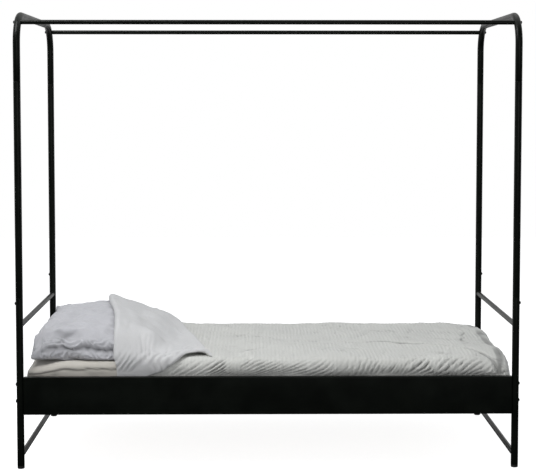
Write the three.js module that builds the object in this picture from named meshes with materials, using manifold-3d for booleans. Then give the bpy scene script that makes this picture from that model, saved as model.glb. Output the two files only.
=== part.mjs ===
// Four poster canopy bed for a 90 x 200 cm mattress: a black tubular steel frame that bolts together, a slatted
// base, a mattress, a pillow and a duvet folded back at the head.
// Millimetres. +Z up, +X towards the foot end, +Y towards the back, origin on the floor under the bed's centre.

import * as THREE from 'three';
import { RoundedBoxGeometry } from 'three/addons/geometries/RoundedBoxGeometry.js';
import { mergeVertices } from 'three/addons/utils/BufferGeometryUtils.js';
import Module from 'manifold-3d';

// ---- Driving dimensions ----

const GAP = 0.3; // between pieces that touch

const POST_SPAN_X = 2060; // between post centres, along the bed
const POST_SPAN_Y = 950; // between post centres, across the bed
const POST_R = 15;
const POST_BORE_R = 13.5;
const POST_SIDES = 20;

const FOOT_CAP_HEIGHT = 12; // the part of the plastic foot below the tube
const LOWER_JOINT_Z = 714; // where the upper post sits on the lower one
const CANOPY_JOINT_Z = 1608; // where the canopy arch sits on the upper post

const SPIGOT_R = 13.2;
const SPIGOT_BORE_R = 12;
const SPIGOT_LENGTH = 55; // inside the neighbouring tube
const SPIGOT_ROOT = 18; // inside its own tube

const ARCH_TOP_Z = 1882; // centre line of the arch's level run
const ARCH_BEND_R = 120; // centre line
const ARCH_BEND_STEPS = 8;

const TOP_BAR_R = 9.5;
const TOP_BAR_BORE_R = 8;
const TOP_BAR_PLUG = 26; // threaded plug in each end
const TOP_BAR_SIDES = 16;
const TOP_BAR_ANGLE = THREE.MathUtils.degToRad(48.6); // up round the arch's bend

const CROSSBAR_R = 11;
const CROSSBAR_BORE_R = 9.5;
const CROSSBAR_SIDES = 16;
const UPPER_CROSSBAR_Z = 597;
const LOWER_CROSSBAR_Z = 52;

const RAIL_BOTTOM_Z = 227;
const RAIL_HEIGHT = 158;
const RAIL_THICKNESS = 25;
const RAIL_WALL = 1.5;
const RAIL_END_PLATE = 8;

const LEDGE_TOP_Z = 260;
const LEDGE_LEG = 25;
const LEDGE_WALL = 2.5;
const LEDGE_LENGTH = 1960;

const SLAT_COUNT = 13;
const SLAT_PITCH = 155;
const SLAT = { width: 70, length: 914, thickness: 18 };
const STRAP = { width: 30, thickness: 1, y: 290 };

const MATTRESS = { length: 2000, width: 900, thickness: 160, edge: 28 };
const PILLOW = { length: 540, width: 860, thickness: 160, headX: -990 };
const DUVET_WIDTH = 890;

const RAIL_BOLT_Z = [284, 354];
const JOINT_BOLT_Z = 692;
const RAIL_BOLT = { shankR: 4, headR: 7, headHeight: 3.5, length: 50 };
const JOINT_BOLT = { shankR: 3, headR: 6.5, headHeight: 4, length: 9 };
const TOP_BOLT = { shankR: 3, headR: 6.5, headHeight: 4, length: 48 };
const BOLT_HOLE_CLEARANCE = 0.4; // on the radius
const BOLT_SIDES = 12;

// ---- Derived positions ----

const POST_X = POST_SPAN_X / 2;
const POST_Y = POST_SPAN_Y / 2;
const ARCH_BEND_Y = POST_Y - ARCH_BEND_R;
const ARCH_BEND_Z = ARCH_TOP_Z - ARCH_BEND_R;
const TOP_BAR_Y = ARCH_BEND_Y + ARCH_BEND_R * Math.cos(TOP_BAR_ANGLE);
const TOP_BAR_Z = ARCH_BEND_Z + ARCH_BEND_R * Math.sin(TOP_BAR_ANGLE);
const SLAT_Z = LEDGE_TOP_Z + GAP + SLAT.thickness / 2;
const STRAP_Z = LEDGE_TOP_Z + 2 * GAP + SLAT.thickness + STRAP.thickness / 2;
const MATTRESS_BOTTOM_Z = LEDGE_TOP_Z + 3 * GAP + SLAT.thickness + STRAP.thickness;
const BEDDING_Z = MATTRESS_BOTTOM_Z + MATTRESS.thickness + GAP;

const ENDS = [
  { name: 'head', sign: -1 },
  { name: 'foot', sign: 1 },
];
const SIDES = [
  { name: 'front', sign: -1 },
  { name: 'back', sign: 1 },
];

// ---- Materials ----

function finish(color, roughness, metalness) {
  return () => new THREE.MeshStandardMaterial({ color, roughness, metalness });
}

const blackPowderCoat = finish(0x121412, 0.42, 0.1);
const blackBolt = finish(0x1b1c1b, 0.35, 0.5);
const blackPlastic = finish(0x151515, 0.6, 0);
const pine = finish(0xd6b98c, 0.65, 0);
const webbing = finish(0xd9d6cc, 0.9, 0);
const mattressTicking = finish(0xc9c5bb, 0.9, 0);
const pillowCotton = finish(0xbdbdc3, 0.9, 0);
const duvetCotton = finish(0xc8c9c4, 0.9, 0);

const bed = new THREE.Group();

function addMesh(name, geometry, material, position = [0, 0, 0], rotation = [0, 0, 0]) {
  const mesh = new THREE.Mesh(geometry, material());
  mesh.name = name;
  mesh.position.set(...position);
  mesh.rotation.set(...rotation);
  bed.add(mesh);
  return mesh;
}

// ---- Solid joining and cutting ----

const wasm = await Module();
wasm.setup();

function toSolid(geometry) {
  const bare = geometry.clone();
  bare.deleteAttribute('normal');
  bare.deleteAttribute('uv');
  const welded = mergeVertices(bare, 1e-4);
  const vertProperties = Float32Array.from(welded.attributes.position.array);
  const triVerts = Uint32Array.from(welded.index.array);
  return new wasm.Manifold(new wasm.Mesh({ numProp: 3, vertProperties, triVerts }));
}

function toGeometry(solid) {
  const mesh = solid.getMesh();
  const geometry = new THREE.BufferGeometry();
  geometry.setAttribute('position', new THREE.BufferAttribute(mesh.vertProperties, 3));
  geometry.setIndex(new THREE.BufferAttribute(mesh.triVerts, 1));
  geometry.computeVertexNormals();
  return geometry;
}

function cut(geometry, cutters) {
  let solid = toSolid(geometry);
  for (const cutter of cutters) {
    solid = solid.subtract(toSolid(cutter));
  }
  return toGeometry(solid);
}

function join(geometries) {
  const [first, ...rest] = geometries.map(toSolid);
  return toGeometry(rest.reduce((sum, solid) => sum.add(solid), first));
}

// ---- Shared shapes ----

// A solid of revolution about +Z from [radius, z] corners.
function turned(corners, sides) {
  const points = corners.map(([r, z]) => new THREE.Vector2(r, z));
  const geometry = new THREE.LatheGeometry(points, sides);
  geometry.rotateX(Math.PI / 2);
  return geometry;
}

// A rod along X, centred on (x, y, z).
function rodAlongX(radius, length, sides, x, y, z) {
  const geometry = new THREE.CylinderGeometry(radius, radius, length, sides);
  geometry.rotateZ(Math.PI / 2);
  geometry.translate(x, y, z);
  return geometry;
}

function rectangle(width, height) {
  const shape = new THREE.Shape();
  shape.moveTo(-width / 2, -height / 2);
  shape.lineTo(width / 2, -height / 2);
  shape.lineTo(width / 2, height / 2);
  shape.lineTo(-width / 2, height / 2);
  shape.closePath();
  return shape;
}

function roundedRectangle(length, width, radius) {
  const x = length / 2;
  const y = width / 2;
  const shape = new THREE.Shape();
  shape.moveTo(-x + radius, -y);
  shape.lineTo(x - radius, -y);
  shape.absarc(x - radius, -y + radius, radius, -Math.PI / 2, 0, false);
  shape.lineTo(x, y - radius);
  shape.absarc(x - radius, y - radius, radius, 0, Math.PI / 2, false);
  shape.lineTo(-x + radius, y);
  shape.absarc(-x + radius, y - radius, radius, Math.PI / 2, Math.PI, false);
  shape.lineTo(-x, -y + radius);
  shape.absarc(-x + radius, -y + radius, radius, Math.PI, 1.5 * Math.PI, false);
  return shape;
}

// A section drawn in Y (its x) and Z (its y), drawn out along X and centred on it.
function extrudedAlongX(shape, length) {
  const geometry = new THREE.ExtrudeGeometry(shape, { depth: length, bevelEnabled: false, steps: 1 });
  geometry.translate(0, 0, -length / 2);
  geometry.rotateX(Math.PI / 2);
  geometry.rotateZ(Math.PI / 2);
  return geometry;
}

// ---- Feet: moulded plastic plugs with a rounded lower edge ----

const footCap = [
  [0, 0],
  [12, 0],
  [14.2, 1.2],
  [15, 3.5],
  [15, FOOT_CAP_HEIGHT],
  [SPIGOT_R, FOOT_CAP_HEIGHT],
  [SPIGOT_R, FOOT_CAP_HEIGHT + 22],
  [SPIGOT_R - 1, FOOT_CAP_HEIGHT + 24],
  [0, FOOT_CAP_HEIGHT + 24],
];

// ---- Lower posts, with holes for the rail bolts and the joint bolt ----

function lowerPost(endSign) {
  const tube = turned([
    [POST_BORE_R, FOOT_CAP_HEIGHT + GAP],
    [POST_R, FOOT_CAP_HEIGHT + GAP],
    [POST_R, LOWER_JOINT_Z - GAP / 2],
    [POST_BORE_R, LOWER_JOINT_Z - GAP / 2],
    [POST_BORE_R, FOOT_CAP_HEIGHT + GAP],
  ], POST_SIDES);
  const railHoleR = RAIL_BOLT.shankR + BOLT_HOLE_CLEARANCE;
  const jointHoleR = JOINT_BOLT.shankR + BOLT_HOLE_CLEARANCE;
  const railHoles = RAIL_BOLT_Z.map((z) => rodAlongX(railHoleR, 3 * POST_R, BOLT_SIDES, 0, 0, z));
  const jointHole = rodAlongX(jointHoleR, POST_R, BOLT_SIDES, endSign * POST_R, 0, JOINT_BOLT_Z);
  return cut(tube, [...railHoles, jointHole]);
}

// ---- Upper posts, with a reduced spigot at both ends ----

function upperPost(endSign) {
  const bottom = LOWER_JOINT_Z + GAP / 2;
  const top = CANOPY_JOINT_Z - GAP / 2;
  const tube = turned([
    [SPIGOT_BORE_R, bottom - SPIGOT_LENGTH],
    [SPIGOT_R, bottom - SPIGOT_LENGTH],
    [SPIGOT_R, bottom],
    [POST_R, bottom],
    [POST_R, top],
    [SPIGOT_R, top],
    [SPIGOT_R, top + SPIGOT_LENGTH],
    [SPIGOT_BORE_R, top + SPIGOT_LENGTH],
    [SPIGOT_BORE_R, top - SPIGOT_ROOT],
    [POST_BORE_R, top - SPIGOT_ROOT],
    [POST_BORE_R, bottom + SPIGOT_ROOT],
    [SPIGOT_BORE_R, bottom + SPIGOT_ROOT],
    [SPIGOT_BORE_R, bottom - SPIGOT_LENGTH],
  ], POST_SIDES);
  const holeR = JOINT_BOLT.shankR + BOLT_HOLE_CLEARANCE;
  return cut(tube, [rodAlongX(holeR, POST_R, BOLT_SIDES, endSign * POST_R, 0, JOINT_BOLT_Z)]);
}

for (const end of ENDS) {
  for (const side of SIDES) {
    const corner = `${end.name}_${side.name}`;
    const foot = [end.sign * POST_X, side.sign * POST_Y, 0];
    addMesh(`foot_cap_${corner}`, turned(footCap, POST_SIDES), blackPlastic, foot);
    addMesh(`lower_post_${corner}`, lowerPost(end.sign), blackPowderCoat, foot);
    addMesh(`upper_post_${corner}`, upperPost(end.sign), blackPowderCoat, foot);
  }
}

// ---- Canopy arches: one bent tube over each end ----

// The arch's centre line across the bed: up one leg, round a bend, level, round the other bend and down.
// Its parameter moves on one step over each straight and ARCH_BEND_STEPS steps round each bend.
class ArchCurve extends THREE.Curve {
  static STEPS = 2 * ARCH_BEND_STEPS + 3;

  getPoint(t, target = new THREE.Vector3()) {
    const { y, z } = ArchCurve.place(t * ArchCurve.STEPS);
    return target.set(0, y, z);
  }

  getTangent(t, target = new THREE.Vector3()) {
    const angle = ArchCurve.place(t * ArchCurve.STEPS).heading;
    return target.set(0, Math.cos(angle), Math.sin(angle));
  }

  getUtoTmapping(u) {
    return u;
  }

  static place(step) {
    const half = ArchCurve.STEPS / 2;
    if (step > half) {
      const twin = ArchCurve.place(2 * half - step);
      return { y: -twin.y, z: twin.z, heading: -twin.heading };
    }
    const footZ = CANOPY_JOINT_Z + GAP / 2;
    if (step <= 1) {
      return { y: -POST_Y, z: footZ + step * (ARCH_BEND_Z - footZ), heading: Math.PI / 2 };
    }
    if (step <= 1 + ARCH_BEND_STEPS) {
      const turn = ((step - 1) / ARCH_BEND_STEPS) * (Math.PI / 2);
      return {
        y: -ARCH_BEND_Y - ARCH_BEND_R * Math.cos(turn),
        z: ARCH_BEND_Z + ARCH_BEND_R * Math.sin(turn),
        heading: Math.PI / 2 - turn,
      };
    }
    const along = (step - 1 - ARCH_BEND_STEPS) / (half - 1 - ARCH_BEND_STEPS);
    return { y: -ARCH_BEND_Y * (1 - along), z: ARCH_TOP_Z, heading: 0 };
  }
}

function circle(radius, sides) {
  const corners = [];
  for (let i = 0; i < sides; i += 1) {
    const angle = (2 * Math.PI * i) / sides;
    corners.push(new THREE.Vector2(radius * Math.cos(angle), radius * Math.sin(angle)));
  }
  return corners;
}

function sweptArch(outerR, boreR) {
  const section = new THREE.Shape(circle(outerR, POST_SIDES));
  if (boreR > 0) {
    section.holes.push(new THREE.Path(circle(boreR, POST_SIDES)));
  }
  return new THREE.ExtrudeGeometry(section, { extrudePath: new ArchCurve(), steps: ArchCurve.STEPS });
}

const topHoleR = TOP_BOLT.shankR + BOLT_HOLE_CLEARANCE;
const topHoles = SIDES.map(({ sign }) =>
  rodAlongX(topHoleR, 3 * POST_R, BOLT_SIDES, 0, sign * TOP_BAR_Y, TOP_BAR_Z));

for (const end of ENDS) {
  const arch = cut(sweptArch(POST_R, POST_BORE_R), topHoles);
  addMesh(`canopy_arch_${end.name}`, arch, blackPowderCoat, [end.sign * POST_X, 0, 0]);
}

// ---- Long canopy bars between the arches, coped round the bends ----

function topBar(sideSign) {
  const end = POST_X - POST_R / 2;
  const tube = turned([
    [topHoleR, -end],
    [TOP_BAR_R, -end],
    [TOP_BAR_R, end],
    [topHoleR, end],
    [topHoleR, end - TOP_BAR_PLUG],
    [TOP_BAR_BORE_R, end - TOP_BAR_PLUG],
    [TOP_BAR_BORE_R, TOP_BAR_PLUG - end],
    [topHoleR, TOP_BAR_PLUG - end],
    [topHoleR, -end],
  ], TOP_BAR_SIDES);
  tube.rotateY(Math.PI / 2);
  tube.translate(0, sideSign * TOP_BAR_Y, TOP_BAR_Z);
  const copes = ENDS.map(({ sign }) => sweptArch(POST_R + GAP, 0).translate(sign * POST_X, 0, 0));
  return cut(tube, copes);
}

for (const side of SIDES) {
  addMesh(`canopy_bar_${side.name}`, topBar(side.sign), blackPowderCoat);
}

// ---- Crossbars between the lower posts at each end, coped round the posts ----

function crossbar(z) {
  const tube = turned([
    [CROSSBAR_BORE_R, -POST_Y],
    [CROSSBAR_R, -POST_Y],
    [CROSSBAR_R, POST_Y],
    [CROSSBAR_BORE_R, POST_Y],
    [CROSSBAR_BORE_R, -POST_Y],
  ], CROSSBAR_SIDES);
  tube.rotateX(Math.PI / 2);
  const copes = SIDES.map(({ sign }) => {
    const post = new THREE.CylinderGeometry(POST_R + GAP, POST_R + GAP, 4 * CROSSBAR_R, POST_SIDES);
    post.rotateX(Math.PI / 2);
    return post.translate(0, sign * POST_Y, 0);
  });
  return cut(tube, copes).translate(0, 0, z);
}

for (const end of ENDS) {
  const x = end.sign * POST_X;
  addMesh(`upper_crossbar_${end.name}`, crossbar(UPPER_CROSSBAR_Z), blackPowderCoat, [x, 0, 0]);
  addMesh(`lower_crossbar_${end.name}`, crossbar(LOWER_CROSSBAR_Z), blackPowderCoat, [x, 0, 0]);
}

// ---- Side rails: flat box sections with a drilled plate in each end ----

function sideRail() {
  const length = POST_SPAN_X - 2 * (POST_R + GAP);
  const section = rectangle(RAIL_THICKNESS, RAIL_HEIGHT);
  section.holes.push(rectangle(RAIL_THICKNESS - 2 * RAIL_WALL, RAIL_HEIGHT - 2 * RAIL_WALL));
  const centreZ = RAIL_BOTTOM_Z + RAIL_HEIGHT / 2;
  const box = extrudedAlongX(section, length).translate(0, 0, centreZ);
  const plates = ENDS.map(({ sign }) => {
    const plate = new THREE.BoxGeometry(RAIL_END_PLATE, RAIL_THICKNESS - RAIL_WALL, RAIL_HEIGHT - RAIL_WALL);
    return plate.translate(sign * (length - RAIL_END_PLATE) / 2, 0, centreZ);
  });
  const holeR = RAIL_BOLT.shankR + BOLT_HOLE_CLEARANCE;
  const holes = ENDS.flatMap(({ sign }) =>
    RAIL_BOLT_Z.map((z) => rodAlongX(holeR, 4 * RAIL_END_PLATE, BOLT_SIDES, (sign * length) / 2, 0, z)));
  return cut(join([box, ...plates]), holes);
}

// ---- Slat ledges: an angle along the inner face of each side rail ----

function slatLedge(sideSign) {
  const angle = new THREE.Shape();
  angle.moveTo(0, 0);
  angle.lineTo(LEDGE_LEG, 0);
  angle.lineTo(LEDGE_LEG, -LEDGE_WALL);
  angle.lineTo(LEDGE_WALL, -LEDGE_WALL);
  angle.lineTo(LEDGE_WALL, -LEDGE_LEG);
  angle.lineTo(0, -LEDGE_LEG);
  angle.closePath();
  const geometry = extrudedAlongX(angle, LEDGE_LENGTH);
  if (sideSign > 0) {
    geometry.rotateZ(Math.PI);
  }
  const innerFace = POST_Y - RAIL_THICKNESS / 2 - GAP;
  return geometry.translate(0, sideSign * innerFace, LEDGE_TOP_Z);
}

for (const side of SIDES) {
  addMesh(`side_rail_${side.name}`, sideRail(), blackPowderCoat, [0, side.sign * POST_Y, 0]);
  addMesh(`slat_ledge_${side.name}`, slatLedge(side.sign), blackPowderCoat);
}

// ---- Bolts, driven in from the outer side of the posts and arches ----

function bolt({ shankR, headR, headHeight, length }) {
  return turned([
    [0, -length],
    [shankR, -length],
    [shankR, 0],
    [headR, 0],
    [headR, 0.35 * headHeight],
    [0.72 * headR, 0.86 * headHeight],
    [0, headHeight],
  ], BOLT_SIDES);
}

function addBolt(name, kind, end, y, z) {
  const position = [end.sign * (POST_X + POST_R + GAP), y, z];
  addMesh(name, bolt(kind), blackBolt, position, [0, (end.sign * Math.PI) / 2, 0]);
}

for (const end of ENDS) {
  for (const side of SIDES) {
    const corner = `${end.name}_${side.name}`;
    const y = side.sign * POST_Y;
    addBolt(`rail_bolt_lower_${corner}`, RAIL_BOLT, end, y, RAIL_BOLT_Z[0]);
    addBolt(`rail_bolt_upper_${corner}`, RAIL_BOLT, end, y, RAIL_BOLT_Z[1]);
    addBolt(`post_bolt_${corner}`, JOINT_BOLT, end, y, JOINT_BOLT_Z);
    addBolt(`canopy_bolt_${corner}`, TOP_BOLT, end, side.sign * TOP_BAR_Y, TOP_BAR_Z);
  }
}

// ---- Slatted base: loose slats on the ledges, held apart by two webbing straps ----

for (let i = 0; i < SLAT_COUNT; i += 1) {
  const x = (i - (SLAT_COUNT - 1) / 2) * SLAT_PITCH;
  const slat = new THREE.BoxGeometry(SLAT.width, SLAT.length, SLAT.thickness);
  addMesh(`slat_${String(i + 1).padStart(2, '0')}`, slat, pine, [x, 0, SLAT_Z]);
}

for (const side of SIDES) {
  const length = (SLAT_COUNT - 1) * SLAT_PITCH + SLAT.width;
  const strap = new THREE.BoxGeometry(length, STRAP.width, STRAP.thickness);
  addMesh(`slat_strap_${side.name}`, strap, webbing, [0, side.sign * STRAP.y, STRAP_Z]);
}

// ---- Mattress ----

const mattress = new RoundedBoxGeometry(
  MATTRESS.length,
  MATTRESS.width,
  MATTRESS.thickness,
  3,
  MATTRESS.edge,
);
addMesh('mattress', mattress, mattressTicking, [0, 0, MATTRESS_BOTTOM_Z + MATTRESS.thickness / 2]);

// ---- Pillow: a plump cushion whose rims roll in above and below ----

const PILLOW_ROLL = { inset: 95, height: 68, segments: 5, corner: 30 };

function pillow() {
  const core = roundedRectangle(
    PILLOW.length - 2 * PILLOW_ROLL.inset,
    PILLOW.width - 2 * PILLOW_ROLL.inset,
    PILLOW_ROLL.corner,
  );
  const geometry = new THREE.ExtrudeGeometry(core, {
    depth: PILLOW.thickness - 2 * PILLOW_ROLL.height,
    steps: 1,
    curveSegments: 3,
    bevelEnabled: true,
    bevelSize: PILLOW_ROLL.inset,
    bevelThickness: PILLOW_ROLL.height,
    bevelSegments: PILLOW_ROLL.segments,
  });
  return geometry.translate(PILLOW.headX + PILLOW.length / 2, 0, BEDDING_Z + PILLOW_ROLL.height);
}

addMesh('pillow', pillow(), pillowCotton);

// ---- Duvet: flat over the mattress, up over the pillow's edge, and folded back on itself ----

// Side view corners as [x, height above the mattress], from the foot end round to the top.
const DUVET_SECTION = [
  [1000, 0],
  [-438, 0],
  [-438, 100],
  [-452, 130],
  [-478, 148],
  [-530, 163],
  [-700, 163],
  [-716, 182],
  [-704, 203],
  [-640, 206],
  [-580, 200],
  [-520, 188],
  [-465, 160],
  [-420, 118],
  [-375, 78],
  [-330, 54],
  [-250, 44],
  [-238, 24],
  [975, 24],
  [995, 14],
];

function duvet() {
  const section = new THREE.Shape(DUVET_SECTION.map(([x, z]) => new THREE.Vector2(x, z)));
  const geometry = new THREE.ExtrudeGeometry(section, { depth: DUVET_WIDTH, bevelEnabled: false, steps: 1 });
  geometry.rotateX(Math.PI / 2);
  return geometry.translate(0, DUVET_WIDTH / 2, BEDDING_Z);
}

addMesh('duvet', duvet(), duvetCotton);

export default bed;
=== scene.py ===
"""Looks for the four poster canopy bed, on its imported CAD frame. Metres, +Z up, +X towards the foot end."""
import math

import bmesh
import bpy
import numpy as np
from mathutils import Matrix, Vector
from mathutils.bvhtree import BVHTree


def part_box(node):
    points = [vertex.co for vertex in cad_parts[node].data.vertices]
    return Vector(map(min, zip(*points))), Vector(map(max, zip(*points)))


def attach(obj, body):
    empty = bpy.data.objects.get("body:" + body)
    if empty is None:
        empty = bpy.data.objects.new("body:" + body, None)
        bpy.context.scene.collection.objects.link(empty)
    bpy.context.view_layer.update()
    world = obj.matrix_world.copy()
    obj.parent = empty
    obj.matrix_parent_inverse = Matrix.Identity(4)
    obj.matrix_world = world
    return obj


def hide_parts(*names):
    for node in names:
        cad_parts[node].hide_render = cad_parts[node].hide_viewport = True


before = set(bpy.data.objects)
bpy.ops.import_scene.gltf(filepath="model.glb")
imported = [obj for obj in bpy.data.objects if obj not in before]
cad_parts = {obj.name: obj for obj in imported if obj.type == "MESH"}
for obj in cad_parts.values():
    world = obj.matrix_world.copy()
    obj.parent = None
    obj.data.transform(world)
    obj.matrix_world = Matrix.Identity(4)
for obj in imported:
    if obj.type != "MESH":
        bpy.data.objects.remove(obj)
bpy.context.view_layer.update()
scene = bpy.context.scene

ENDS = (("head", -1), ("foot", 1))
SIDES = (("front", -1), ("back", 1))
GAP = 0.0003  # between pieces that touch


# ---------------------------------------------------------------- camera, floor and light

def make_camera():
    data = bpy.data.cameras.new("camera")
    data.lens, data.sensor_width, data.sensor_fit = 92.13, 36.0, "HORIZONTAL"
    data.shift_y = -0.095
    data.clip_start, data.clip_end = 0.1, 100
    camera = bpy.data.objects.new("camera", data)
    camera.location = (-0.0672, -6.1199, 1.5352)
    look_down, turn = 0.06251, -0.01174
    camera.rotation_euler = (math.pi / 2 - look_down, 0, turn)
    scene.collection.objects.link(camera)
    scene.camera = camera


def area_light(name, place, target, size, power, colour=(1, 1, 1)):
    """A softbox of size (width, height) in metres and power in watts."""
    data = bpy.data.lights.new(name, "AREA")
    data.shape, data.size, data.size_y = "RECTANGLE", size[0], size[1]
    data.energy, data.color = power, colour
    light = bpy.data.objects.new(name, data)
    light.location = place
    light.rotation_euler = (Vector(target) - Vector(place)).to_track_quat("-Z", "Y").to_euler()
    scene.collection.objects.link(light)


def make_studio():
    """A white studio. Its front is dark to reflections, as if flagged off, so that the frame stays black."""
    world = bpy.data.worlds.new("studio")
    scene.world = world
    world.use_nodes = True
    world.node_tree.nodes.clear()
    sky = Nodes(world.node_tree)
    place = sky.node("SeparateXYZ", Vector=sky.node("TexCoord").outputs["Generated"])
    fill = sky.node("Background", Color=(0.93, 0.96, 1.0, 1), Strength=0.42)
    flag = sky.ramp(place.outputs["Y"], 0.02, 0.85, 0.0, 0.35)
    mirrored_part = sky.node("Background", Color=WHITE, Strength=flag)
    seen = sky.node("Background", Color=WHITE, Strength=1.0)
    sky.by_ray(fill, mirrored_part, seen, sky.node("OutputWorld"))
    area_light("softbox_key", (-1.9, -1.5, 4.2), (0, 0, 0.4), (1.7, 1.7), 114)
    area_light("softbox_top", (1.0, 0.3, 4.6), (0.4, 0, 0.4), (4.0, 3.0), 37)
    area_light("softbox_front", (1.2, -5.2, 2.2), (0, 0, 0.6), (2.6, 2.0), 32, (1, 0.985, 0.96))
    scene.view_settings.view_transform = "Standard"
    scene.view_settings.look = "None"


# ---------------------------------------------------------------- node materials

WHITE = (1, 1, 1, 1)


class Nodes:
    """Short ways to add nodes to a tree. Each input takes a value or another node's output."""

    def __init__(self, tree):
        self.tree = tree

    def feed(self, socket, value):
        if isinstance(value, bpy.types.NodeSocket):
            self.tree.links.new(value, socket)
        else:
            socket.default_value = value

    def node(self, kind, properties=None, **inputs):
        node = self.tree.nodes.new("ShaderNode" + kind)
        for key, value in (properties or {}).items():
            setattr(node, key, value)
        for key, value in inputs.items():
            self.feed(node.inputs[key.replace("_", " ")], value)
        return node

    def coords(self, output="Object", scale=(1, 1, 1)):
        place = self.node("TexCoord").outputs[output]
        return self.node("Mapping", Vector=place, Scale=scale).outputs["Vector"]

    def noise(self, vector, scale, detail=3.0, roughness=0.5):
        node = self.node("TexNoise", Vector=vector, Scale=scale, Detail=detail, Roughness=roughness)
        return node.outputs["Fac"]

    def bands(self, vector, pitch, direction="X", distortion=0.0, detail=1.0, detail_scale=1.0):
        """Soft stripes, pitch apart in the vector's own units."""
        node = self.node(
            "TexWave", {"bands_direction": direction}, Vector=vector, Scale=math.pi / 10 / pitch,
            Distortion=distortion, Detail=detail, Detail_Scale=detail_scale,
        )
        return node.outputs["Fac"]

    def ramp(self, value, low, high, start=0.0, end=1.0):
        """value from start to end becomes low to high."""
        node = self.node("MapRange", Value=value, From_Min=start, From_Max=end, To_Min=low, To_Max=high)
        return node.outputs["Result"]

    def math(self, kind, a, b):
        node = self.node("Math", {"operation": kind})
        self.feed(node.inputs[0], a)
        self.feed(node.inputs[1], b)
        return node.outputs["Value"]

    def mix(self, factor, a, b):
        """A colour between a and b."""
        node = self.node("Mix", {"data_type": "RGBA"}, Factor=factor)
        for socket, value in ((node.inputs[6], a), (node.inputs[7], b)):
            self.feed(socket, (*value, 1) if isinstance(value, tuple) else value)
        return node.outputs[2]

    def by_ray(self, usual, mirrored_part, seen, out):
        """Ends the tree with one shader for the light, one for reflections and one for the camera."""
        path = self.node("LightPath")
        for ray, other in (("Is Glossy Ray", mirrored_part), ("Is Camera Ray", seen)):
            blend = self.node("MixShader", Fac=path.outputs[ray])
            self.feed(blend.inputs[1], usual.outputs[0])
            self.feed(blend.inputs[2], other.outputs[0])
            usual = blend
        self.feed(out.inputs["Surface"], usual.outputs[0])


class Material(Nodes):
    """A principled material."""

    def __init__(self, name, colour, roughness, **sockets):
        self.mat = bpy.data.materials.new(name)
        self.mat.use_nodes = True
        super().__init__(self.mat.node_tree)
        self.shader = self.tree.nodes["Principled BSDF"]
        self.normal = None
        for socket, value in {"Base_Color": (*colour, 1), "Roughness": roughness, **sockets}.items():
            self.feed(self.shader.inputs[socket.replace("_", " ")], value)

    def bump(self, height, distance, strength=1.0):
        node = self.node("Bump", Height=height, Distance=distance, Strength=strength)
        if self.normal is not None:
            self.feed(node.inputs["Normal"], self.normal)
        self.normal = node.outputs["Normal"]
        self.feed(self.shader.inputs["Normal"], self.normal)

    def colour(self, socket):
        self.feed(self.shader.inputs["Base Color"], socket)

    def rough(self, socket):
        self.feed(self.shader.inputs["Roughness"], socket)


def scaled(colour, factor):
    return tuple(c * factor for c in colour)


def powder_coat():
    colour, roughness = (0.0026, 0.0036, 0.0026), 0.36
    m = Material("frame_coat", colour, roughness, Specular_IOR_Level=0.15)
    p = m.coords()
    cloudy = m.noise(p, 9, 2)
    grain = m.noise(p, 1400, 2, 0.6)
    m.colour(m.mix(m.ramp(cloudy, 0, 1, 0.35, 0.7), colour, scaled(colour, 1.7)))
    m.rough(m.math("ADD", m.ramp(cloudy, roughness - 0.05, roughness + 0.05), m.ramp(grain, -0.03, 0.05)))
    m.bump(m.noise(p, 260, 2), 0.00015, 0.35)
    m.bump(grain, 0.00006, 0.5)
    return m.mat


def bolt_black():
    m = Material("bolt_black", (0.012, 0.0125, 0.012), 0.32, Metallic=0.55)
    p = m.coords()
    m.rough(m.ramp(m.noise(p, 600, 3), 0.24, 0.42))
    m.colour(m.mix(m.noise(p, 90, 2), (0.008, 0.0085, 0.008), (0.02, 0.02, 0.019)))
    m.bump(m.noise(p, 1800, 2), 0.00004, 0.5)
    return m.mat


def moulded_plastic():
    m = Material("foot_plastic", (0.012, 0.012, 0.012), 0.55, Specular_IOR_Level=0.35)
    p = m.coords()
    m.rough(m.ramp(m.noise(p, 240, 3), 0.46, 0.68))
    m.colour(m.mix(m.noise(p, 60, 3), (0.009, 0.009, 0.009), (0.02, 0.02, 0.02)))
    m.bump(m.noise(p, 2400, 3, 0.7), 0.00012, 0.6)
    return m.mat


def pine():
    m = Material("slat_pine", (0.6, 0.42, 0.24), 0.6, Specular_IOR_Level=0.3)
    drift = m.noise(m.coords(scale=(1, 0.12, 1)), 7, 3)
    rings = m.bands(m.coords(scale=(1, 0.06, 1)), 0.012, "X", 5.5, 3, 1.4)
    fibre = m.noise(m.coords(scale=(1, 0.02, 1)), 520, 3, 0.7)
    early = m.mix(drift, (0.66, 0.47, 0.28), (0.58, 0.39, 0.21))
    late = m.mix(drift, (0.46, 0.28, 0.13), (0.40, 0.23, 0.10))
    grain = m.mix(m.ramp(rings, 0, 1, 0.55, 1.0), early, late)
    m.colour(m.mix(m.ramp(fibre, 0, 0.35, 0.45, 0.75), grain, (0.42, 0.26, 0.13)))
    m.rough(m.ramp(fibre, 0.5, 0.72))
    m.bump(rings, 0.0002, 0.4)
    m.bump(fibre, 0.0003, 0.5)
    return m.mat


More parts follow.
